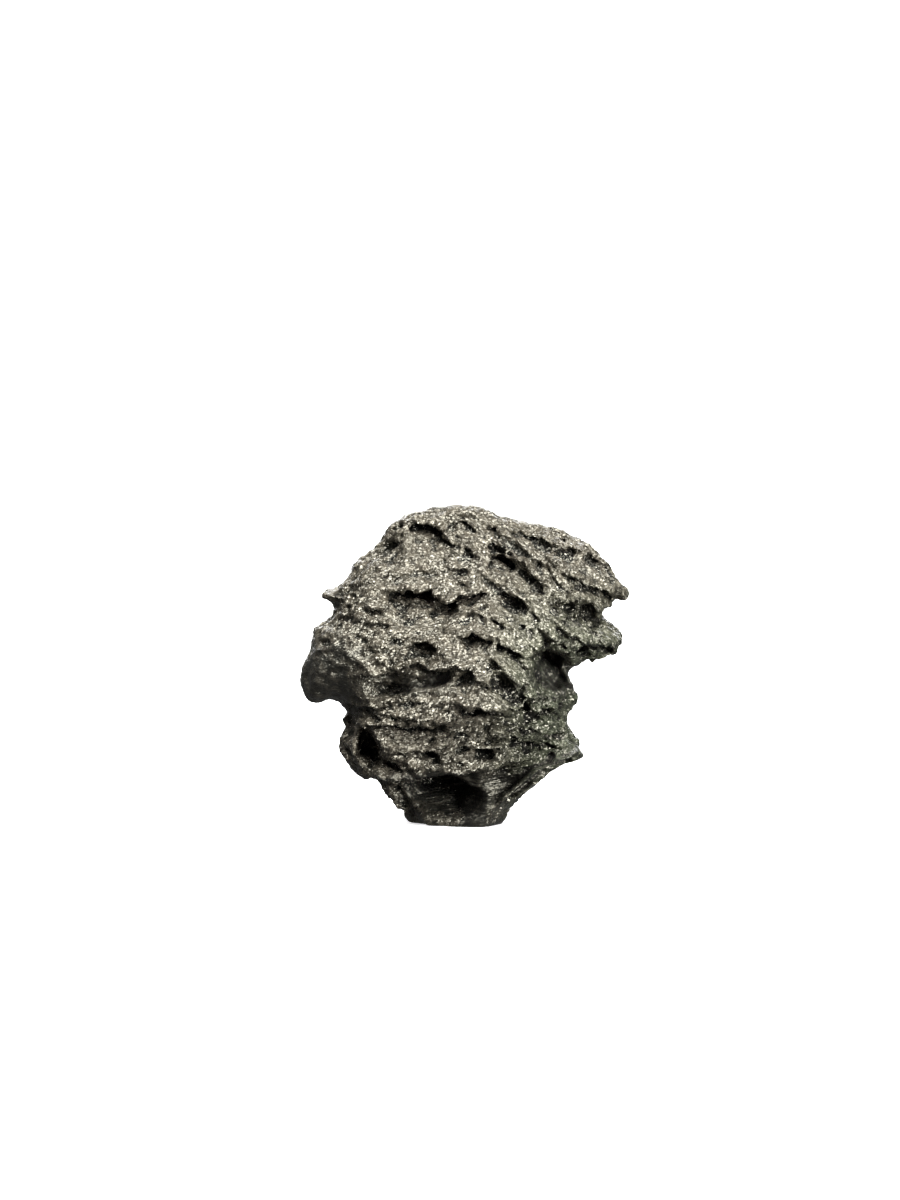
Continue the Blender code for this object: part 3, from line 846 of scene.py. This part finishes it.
    def work_texture(self, stone: bpy.types.Object) -> None:
        """Works the scallops, flow wrinkles, small pits and grit over the whole stone."""
        surface = Surface(stone)
        points, normals = surface.points, surface.normals
        foot = ramp(points[:, 2], 0.05, 1.2)
        smooth_lobe = self.lobe(points)
        bottom = self.striated(points)
        rough = (1.0 - 0.6 * smooth_lobe) * (1.0 - 0.85 * bottom) * (1.0 - 0.6 * self.sheltered(points))
        rough *= 1.0 - 0.8 * self.drawn_lip(points)
        rightness = self.turned(points)
        patchy = 0.45 + 0.75 * ramp(wavy(points, 4.0, 91.0), -0.4, 0.4) + 0.6 * self.rugged(points)
        hollow = np.zeros(len(points))
        for (left, right) in self.scallops:
            hollow += (1.0 - rightness) * left.hollow(points) + rightness * right.hollow(points)
        hollow *= patchy
        hollow += self.pock(points, *LARGE_POCK) + self.pock(points, *SMALL_POCK) - POCK_MEAN
        fine_left = self.flow(surface, 6.0, 1.6, 0.5, 23.0)
        fine_right = self.flow(surface, -36.0, 1.3, 0.52, 29.0)
        fine = (1.0 - rightness) * fine_left + rightness * fine_right
        lumps = wavy(points, 1.0, 5.0) * LUMP_HEIGHT + wavy(points, 0.45, 9.0) * KNOB_HEIGHT
        lumps = lumps * (1.0 + self.rugged(points))
        grain = wavy(points, 0.24, 17.0)
        height = rough * (WRINKLE_HEIGHT * fine + lumps + GRAIN_HEIGHT * grain)
        height += (1.0 - rough) * (SWELL_HEIGHT * wavy(points, 1.6, 13.0) + SATIN_GRAIN_HEIGHT * grain)
        height += bottom * STRIA_HEIGHT * np.sin(self.striae(points))
        hollow *= rough * (0.6 + 0.4 * np.abs(normals[:, 1]))
        up = np.array([0.0, 0.0, 1.0]) - normals * normals[:, 2:]
        surface.points += normals * ((height - hollow) * foot)[:, None]
        surface.points += up * (0.6 * hollow * foot)[:, None]
        surface.points[:, 2] = np.maximum(surface.points[:, 2], 0.0)
        surface.write()

    def sheltered(self, points: Array) -> Array:
        """Gives 1 in the sheltered places where the melt stayed smooth, 0 away from them."""
        x, y, z = points.T
        found = np.zeros(len(points))
        edge = 0.45 * wavy(points, 1.3, 83.0)
        for middle_x, middle_z, half_x, half_z, amount in self.shelters:
            radius = np.hypot((x - middle_x) / half_x, (z - middle_z) / half_z) + edge
            found = np.maximum(found, amount * ramp(-radius, -1.3, -0.6))
        return found * ramp(-y, -4.0, -2.0)

    def rugged(self, points: Array) -> Array:
        """Gives 1 on the broken ground low on the right, 0 away from it."""
        x, y, z = points.T
        middle_x, middle_z, half_x, half_z = self.broken_ground
        radius = np.hypot((x - middle_x) / half_x, (z - middle_z) / half_z)
        return ramp(-radius, -1.2, -0.6) * ramp(-y, -1.0, 1.0)

    def turned(self, points: Array) -> Array:
        """Gives 1 where the flow runs down to the right, 0 where it runs level."""
        x, _, z = points.T
        return ramp(x, -3.0, 5.0) * ramp(z, 8.0, 14.0)

    def pock(self, points: Array, spacing: float, depth: float) -> Array:
        """Gives small round pits, scattered unevenly.

        Args:
            points: Places in millimetres.
            spacing: About how far apart the pits can be.
            depth: How deep the deepest are.

        Returns:
            The depth at each point.
        """
        scaled = points / spacing
        found = [noise.voronoi(Vector(p)) for p in scaled]
        gaps = np.array([distances[0] for distances, _ in found])
        seeds = np.array([tuple(places[0]) for _, places in found])
        chance = 0.5 + 0.5 * np.sin(seeds @ (127.1, 311.7, 74.7))
        wanted = ramp(chance, 0.55, 0.75)
        radius = 0.25 + 0.22 * chance
        return depth * wanted * np.clip(1.0 - (gaps / radius) ** 2, 0.0, 1.0)

    def lobe(self, points: Array) -> Array:
        """Gives 1 on the smooth satin lobe at the left, 0 away from it."""
        x, _, z = points.T
        edge = 1.2 * wavy(points, 1.8, 71.0)
        return ramp(-x + edge, 7.0, 13.0) * ramp(z + edge, 10.0, 13.5) * ramp(-z + edge, -21.5, -15.5)

    def striated(self, points: Array) -> Array:
        """Gives 1 on the drawn-out face under the front, 0 away from it; the finish paints shade on it."""
        x, y, z = points.T
        gap, _, _ = line_distance(x, z, LOWER_LIP)
        return ramp(-z, -6.0, -4.8) * ramp(x, -1.5, 0.5) * ramp(-y, -1.0, 1.0) * ramp(gap, 0.3, 1.1)

    def drawn_lip(self, points: Array) -> Array:
        """Gives 1 on the smooth double lip low on the right, 0 away from it."""
        x, y, z = points.T
        gap, _, _ = line_distance(x, z, LOWER_LIP)
        return ramp(-gap, -1.4, -0.8) * ramp(-y, -3.0, -1.0)

    def striae(self, points: Array) -> Array:
        """Gives the phase of the fine curved lines on the drawn-out face."""
        x, _, z = points.T
        return 2 * math.pi * (z - 0.035 * (x - 2.0) ** 2 + 0.25 * np.sin(x)) / STRIA_SPACING

    def thin_out(self, stone: bpy.types.Object) -> None:
        """Merges faces where the surface is plain, down to the number allowed."""
        stone.data.calc_loop_triangles()
        count = len(stone.data.loop_triangles)
        log.info("worked mesh has %d triangles", count)
        if count <= self.triangles:
            return
        fewer = stone.modifiers.new("fewer_faces", "DECIMATE")
        fewer.ratio = self.triangles / count
        fewer.use_collapse_triangulate = True
        activate(stone)
        bpy.ops.object.modifier_apply(modifier="fewer_faces")

    def drop_crumbs(self, stone: bpy.types.Object) -> None:
        """Deletes the specks that the tools cut loose, and faces with no area.

        Args:
            stone: The mesh object.
        """
        before = len(stone.data.polygons)
        heights = np.empty(len(stone.data.vertices) * 3)
        stone.data.vertices.foreach_get("co", heights)
        summit = int(np.argmax(heights[2::3]))
        chosen = np.zeros(len(stone.data.vertices), bool)
        chosen[summit] = True
        activate(stone)
        bpy.ops.object.mode_set(mode="EDIT")
        bpy.ops.mesh.select_all(action="DESELECT")
        bpy.ops.object.mode_set(mode="OBJECT")
        stone.data.vertices.foreach_set("select", chosen)
        bpy.ops.object.mode_set(mode="EDIT")
        bpy.ops.mesh.select_mode(type="VERT")
        bpy.ops.mesh.select_linked()
        bpy.ops.mesh.select_all(action="INVERT")
        bpy.ops.mesh.delete(type="VERT")
        bpy.ops.mesh.select_all(action="SELECT")
        bpy.ops.mesh.dissolve_degenerate(threshold=0.000001)
        bpy.ops.object.mode_set(mode="OBJECT")
        log.info("dropped %d loose faces", before - len(stone.data.polygons))

    def mark_regions(self, stone: bpy.types.Object) -> None:
        """Stores where the stone is smooth, cool or hollow, for its finish; its colour paints shade into the
        hollow and smooth places.
        """
        surface = Surface(stone)
        points, normals = surface.points, surface.normals
        ends = np.empty(len(stone.data.edges) * 2, int)
        stone.data.edges.foreach_get("vertices", ends)
        one, other = ends.reshape(-1, 2).T
        count = len(points)
        degree = np.bincount(one, minlength=count) + np.bincount(other, minlength=count)
        soft = points.copy()
        for _ in range(RELIEF_ROUNDS):
            total = np.column_stack(
                [
                    np.bincount(one, soft[other, axis], count) + np.bincount(other, soft[one, axis], count)
                    for axis in range(3)
                ]
            )
            soft = total / degree[:, None]
        relief = np.einsum("ij,ij->i", points - soft, normals)
        x, _, z = points.T
        values = {
            # relief: low in hollows, where the finish paints shade.
            "relief": np.clip(0.5 + relief / RELIEF_SPREAD, 0.0, 1.0),
            # satin: the smooth places, which the finish also darkens with painted shade.
            "satin": np.maximum.reduce(
                [
                    self.lobe(points),
                    self.striated(points),
                    0.5 * self.drawn_lip(points),
                    self.sheltered(points),
                ]
            ),
            "cool": ramp(x, 0.0, 9.0) * ramp(-z, -27.0, -14.0),
            "turned": self.turned(points),
        }
        for name, value in values.items():
            layer = stone.data.attributes.new(name, "FLOAT", "POINT")
            layer.data.foreach_set("value", value.astype(np.float32))

    def dress(self, stone: bpy.types.Object, finish: "GlassyStone") -> None:
        """Gives the stone its finish and its place in the frame.

        Args:
            stone: The finished mesh object.
            finish: What it is made of.
        """
        stone.data.materials.append(finish.material())
        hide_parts(self.node)
        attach(stone, "root")


# ---------------------------------------------------------------- the finish


def add_node(
    tree: bpy.types.NodeTree, kind: str, settings: dict | None = None, inputs: dict | None = None
) -> bpy.types.Node:
    """Adds a node with its settings and links.

    Args:
        tree: The material's node tree.
        kind: The node's type.
        settings: Values of the node itself.
        inputs: Socket name or number to a value, or to the socket it is linked from.

    Returns:
        The node.
    """
    made = tree.nodes.new(kind)
    for name, value in (settings or {}).items():
        setattr(made, name, value)
    for name, value in (inputs or {}).items():
        if isinstance(value, bpy.types.NodeSocket):
            tree.links.new(value, made.inputs[name])
        else:
            made.inputs[name].default_value = value
    return made


@dataclass(frozen=True)
class GlassyStone:
    """Fusion crust: black glass skin melted over stone, gritty where it froze in air.

    The eye gets a near-black, warm grey body; every grain is a small glassy facet that flashes
    when it tilts to the light, so lit ground sparkles and shaded ground goes deep and dark.
    """

    name: str = "fusion_crust"
    body: str = "3E3A32"
    cool: str = "3A3D31"
    # Painted shade: hollow is the near-black colour painted into hollows, caves and the satin ground, where
    # shade falls; the random dull patches lean towards it too.
    hollow: str = "11110F"
    glint: str = "FFFAE6"
    ior: float = 1.6
    patch_mm: float = 1.1
    cloud_mm: float = 0.6
    facet_mm: float = 0.17
    chip_mm: float = 0.42
    thread_mm: float = 0.30
    thread_stretch: float = 5.0
    thread_depth_mm: float = 0.30
    facet_tilt: float = 1.3
    chip_tilt: float = 0.6
    glassy: tuple[float, float] = (0.15, 0.30)
    satin_roughness: float = 0.12
    satin_calm: float = 0.72
    # Painted shade: how far the satin ground is darkened towards the hollow colour. This covers the left lobe
    # facing down-left, the drawn-out face under the front, the lower lip and the sheltered hollows.
    satin_painted_shade: float = 0.7

    def material(self) -> bpy.types.Material:
        """Makes the material.

        Returns:
            The material, ready to be put on the stone.
        """
        made = bpy.data.materials.new(self.name)
        made.use_nodes = True
        tree = made.node_tree
        shader = tree.nodes["Principled BSDF"]
        shader.inputs["IOR"].default_value = self.ior
        shader.inputs["Metallic"].default_value = 0.0
        shader.inputs["Specular Tint"].default_value = linear(self.glint)
        place = add_node(tree, "ShaderNodeTexCoord").outputs["Object"]
        marks = {
            name: add_node(tree, "ShaderNodeAttribute", {"attribute_name": name}).outputs["Fac"]
            for name in ("relief", "satin", "cool", "turned")
        }
        # Painted shade: depth is 1 where the relief mark finds a hollow, and there the colour goes
        # near-black.
        depth = add_node(
            tree,
            "ShaderNodeMapRange",
            {"interpolation_type": "SMOOTHSTEP"},
            {"Value": marks["relief"], "From Min": 0.10, "From Max": 0.50, "To Min": 1.0, "To Max": 0.0},
        ).outputs["Result"]
        tree.links.new(self.colour(tree, place, marks, depth), shader.inputs["Base Color"])
        tree.links.new(self.roughness(tree, place, marks), shader.inputs["Roughness"])
        tree.links.new(self.facets(tree, place, marks), shader.inputs["Normal"])
        return made

    def colour(
        self, tree: bpy.types.NodeTree, place: Socket, marks: dict[str, Socket], depth: Socket
    ) -> Socket:
        """Makes the body's colour: cooler to the lower right, darker by random patches, with painted shade in
        hollows and on the satin ground.

        Args:
            tree: The material's node tree.
            place: Where on the stone.
            marks: The regions stored on the mesh.
            depth: 1 in hollows, where shade is painted in.

        Returns:
            The colour.
        """
        blend = {"data_type": "RGBA"}
        tone = add_node(
            tree, "ShaderNodeMix", blend, {0: marks["cool"], 6: linear(self.body), 7: linear(self.cool)}
        ).outputs[2]
        patches = add_node(
            tree,
            "ShaderNodeTexNoise",
            {},
            {"Vector": place, "Scale": 1.0 / (self.patch_mm * MM), "Detail": 5.0, "Roughness": 0.7},
        ).outputs["Fac"]
        dull = add_node(
            tree,
            "ShaderNodeMapRange",
            {},
            {"Value": patches, "From Min": 0.42, "From Max": 0.62, "To Max": 0.6},
        ).outputs["Result"]
        # Painted shade: the satin ground is darkened towards the hollow colour; the dull patches are random
        # darker tone.
        smooth = add_node(
            tree,
            "ShaderNodeMath",
            {"operation": "MULTIPLY_ADD"},
            {0: marks["satin"], 1: self.satin_painted_shade, 2: dull},
        ).outputs[0]
        # Painted shade: the hollows and the satin ground take the near-black hollow colour.
        shade = add_node(tree, "ShaderNodeMath", {"operation": "MAXIMUM"}, {0: smooth, 1: depth}).outputs[0]
        return add_node(tree, "ShaderNodeMix", blend, {0: shade, 6: tone, 7: linear(self.hollow)}).outputs[2]

    def roughness(self, tree: bpy.types.NodeTree, place: Socket, marks: dict[str, Socket]) -> Socket:
        """Makes the roughness: glassy grains, satin where the melt ran smooth.

        Args:
            tree: The material's node tree.
            place: Where on the stone.
            marks: The regions stored on the mesh.

        Returns:
            The roughness.
        """
        cloud = add_node(
            tree,
            "ShaderNodeTexNoise",
            {},
            {"Vector": place, "Scale": 1.0 / (self.cloud_mm * MM), "Detail": 3.0, "Roughness": 0.6},
        ).outputs["Fac"]
        least, most = self.glassy
        gritty = add_node(
            tree,
            "ShaderNodeMapRange",
            {},
            {"Value": cloud, "From Min": 0.3, "From Max": 0.7, "To Min": least, "To Max": most},
        ).outputs["Result"]
        return add_node(
            tree,
            "ShaderNodeMath",
            {"operation": "MULTIPLY_ADD"},
            {0: marks["satin"], 1: self.satin_roughness, 2: gritty},
        ).outputs[0]

    def facets(self, tree: bpy.types.NodeTree, place: Socket, marks: dict[str, Socket]) -> Socket:
        """Tilts the surface grain by grain, over fine threads drawn out along the flow.

        The grains are drawn about twice as coarse as real ones, which would be too fine to see.

        Args:
            tree: The material's node tree.
            place: Where on the stone.
            marks: The regions stored on the mesh.

        Returns:
            The surface normal.
        """
        grit = add_node(
            tree,
            "ShaderNodeMath",
            {"operation": "MULTIPLY_ADD"},
            {0: marks["satin"], 1: -self.satin_calm, 2: 1.0},
        ).outputs[0]
        threads = [self.thread(tree, place, turn) for turn in (7.0, -37.0)]
        thread = add_node(
            tree, "ShaderNodeMix", {"data_type": "FLOAT"}, {0: marks["turned"], 2: threads[0], 3: threads[1]}
        ).outputs[0]
        raised = {"Height": thread, "Distance": self.thread_depth_mm * MM, "Strength": 0.8}
        normal = add_node(tree, "ShaderNodeBump", {}, raised).outputs["Normal"]
        for size, tilt in ((self.chip_mm, self.chip_tilt), (self.facet_mm, self.facet_tilt)):
            grain = add_node(
                tree, "ShaderNodeTexVoronoi", {"feature": "F1"}, {"Vector": place, "Scale": 1.0 / (size * MM)}
            ).outputs["Color"]
            centred = add_node(
                tree, "ShaderNodeVectorMath", {"operation": "SUBTRACT"}, {0: grain, 1: (0.5, 0.5, 0.5)}
            ).outputs[0]
            times = {"operation": "MULTIPLY"}
            amount = add_node(tree, "ShaderNodeMath", times, {0: grit, 1: tilt}).outputs[0]
            lean = add_node(
                tree, "ShaderNodeVectorMath", {"operation": "SCALE"}, {0: centred, "Scale": amount}
            ).outputs[0]
            leaning = add_node(
                tree, "ShaderNodeVectorMath", {"operation": "ADD"}, {0: normal, 1: lean}
            ).outputs[0]
            normal = add_node(
                tree, "ShaderNodeVectorMath", {"operation": "NORMALIZE"}, {0: leaning}
            ).outputs[0]
        return normal

    def thread(self, tree: bpy.types.NodeTree, place: Socket, turn: float) -> Socket:
        """Makes fine threads that run one way across the front.

        Args:
            tree: The material's node tree.
            place: Where on the stone.
            turn: The way they run, in degrees above +X.

        Returns:
            Their height, from 0 to 1.
        """
        across = 1.0 / (self.thread_mm * MM)
        along = across / self.thread_stretch
        laid = add_node(
            tree,
            "ShaderNodeMapping",
            {"vector_type": "TEXTURE"},
            {
                "Vector": place,
                "Rotation": (0.0, -math.radians(turn), 0.0),
                "Scale": (1 / along, 1 / across, 1 / across),
            },
        ).outputs["Vector"]
        return add_node(
            tree,
            "ShaderNodeTexNoise",
            {},
            {"Vector": laid, "Scale": 1.0, "Detail": 3.0, "Roughness": 0.55, "Distortion": 0.4},
        ).outputs["Fac"]


# ---------------------------------------------------------------- the studio


class Softbox(Enum):
    """The studio's lights: place in metres, size in metres, power in watts."""

    KEY = ((-0.02, -0.18, 0.39), 0.30, 9.6)
    FRONT = ((0.28, -0.38, 0.06), 0.20, 8.8)
    BACK = ((0.0, 0.46, 0.20), 0.40, 2.4)


@dataclass(frozen=True)
class Studio:
    """A pale cove, soft lights and the camera.

    Attributes:
        aim: The middle of the picture, in metres.
        distance: From the camera to the stone's middle.
        lens: Focal length in millimetres.
        floor_radius: Half the cove's width.
        floor_flat: How far out its flat middle goes.
        floor_rise: How steeply it curves up beyond that.
        floor_glow: The light it gives off, so that it stays clean and pale.
        surround: Strength of the even light from all round.
    """

    aim: tuple[float, float, float] = (-0.0014, 0.0, 0.0224)
    distance: float = 0.2333
    lens: float = 70.0
    floor_radius: float = 0.9
    floor_flat: float = 0.35
    floor_rise: float = 1.6
    floor_glow: float = 0.72
    surround: float = 0.15

    def build(self) -> None:
        """Makes the cove, the lights, the surroundings and the camera."""
        self.cove()
        for box in Softbox:
            self.light(box)
        self.surroundings()
        self.camera()

    def cove(self) -> None:
        """Makes a round floor whose edge curves up into a backdrop."""
        deselect()
        bpy.ops.mesh.primitive_grid_add(x_subdivisions=96, y_subdivisions=96, size=2 * self.floor_radius)
        floor = bpy.context.object
        floor.name = "studio_floor"
        places = np.empty(len(floor.data.vertices) * 3)
        floor.data.vertices.foreach_get("co", places)
        places = places.reshape(-1, 3)
        out = np.hypot(places[:, 0], places[:, 1])
        places[:, 2] = self.floor_rise * np.clip(out - self.floor_flat, 0.0, None) ** 2
        floor.data.vertices.foreach_set("co", places.ravel())
        bpy.ops.object.shade_smooth()
        paint = bpy.data.materials.new("studio_white")
        paint.use_nodes = True
        shader = paint.node_tree.nodes["Principled BSDF"]
        shader.inputs["Base Color"].default_value = linear("F4F4F2")
        shader.inputs["Roughness"].default_value = 0.9
        shader.inputs["Specular IOR Level"].default_value = 0.1
        shader.inputs["Emission Color"].default_value = linear("FFFFFF")
        shader.inputs["Emission Strength"].default_value = self.floor_glow
        floor.data.materials.append(paint)
        floor.visible_diffuse = False
        floor.visible_glossy = False

    def light(self, box: Softbox) -> None:
        """Adds one softbox, aimed at the stone.

        Args:
            box: Which one.
        """
        place, size, power = box.value
        lamp = bpy.data.lights.new(box.name.lower(), "AREA")
        lamp.shape = "SQUARE"
        lamp.size = size
        lamp.energy = power
        holder = bpy.data.objects.new(box.name.lower(), lamp)
        bpy.context.scene.collection.objects.link(holder)
        holder.location = place
        towards = Vector(self.aim) - Vector(place)
        holder.rotation_euler = towards.to_track_quat("-Z", "Y").to_euler()

    def surroundings(self) -> None:
        """Sets the even light from all round, and plain colour output."""
        world = bpy.data.worlds.new("studio")
        world.use_nodes = True
        shade = world.node_tree.nodes["Background"]
        shade.inputs["Color"].default_value = (1.0, 1.0, 1.0, 1.0)
        shade.inputs["Strength"].default_value = self.surround
        bpy.context.scene.world = world
        bpy.context.scene.view_settings.view_transform = "Standard"

    def camera(self) -> None:
        """Places the camera level, looking straight at the pitted face."""
        lens = bpy.data.cameras.new("camera")
        lens.lens = self.lens
        lens.sensor_width = 36.0
        lens.clip_start = 0.01
        holder = bpy.data.objects.new("camera", lens)
        bpy.context.scene.collection.objects.link(holder)
        holder.location = (self.aim[0], self.aim[1] - self.distance, self.aim[2])
        holder.rotation_euler = (math.pi / 2, 0.0, 0.0)
        bpy.context.scene.camera = holder


def main() -> None:
    """Builds the stone and its studio."""
    logging.basicConfig(level=logging.INFO, format="%(name)s: %(message)s")
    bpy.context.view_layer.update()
    stone_maker = MeteoriteStone()
    stone = stone_maker.build()
    stone_maker.dress(stone, GlassyStone())
    log.info("stone: %d vertices", len(stone.data.vertices))
    Studio().build()
    log.info("studio: cove, %d softboxes, camera", len(Softbox))


if __name__ == "__main__":
    main()
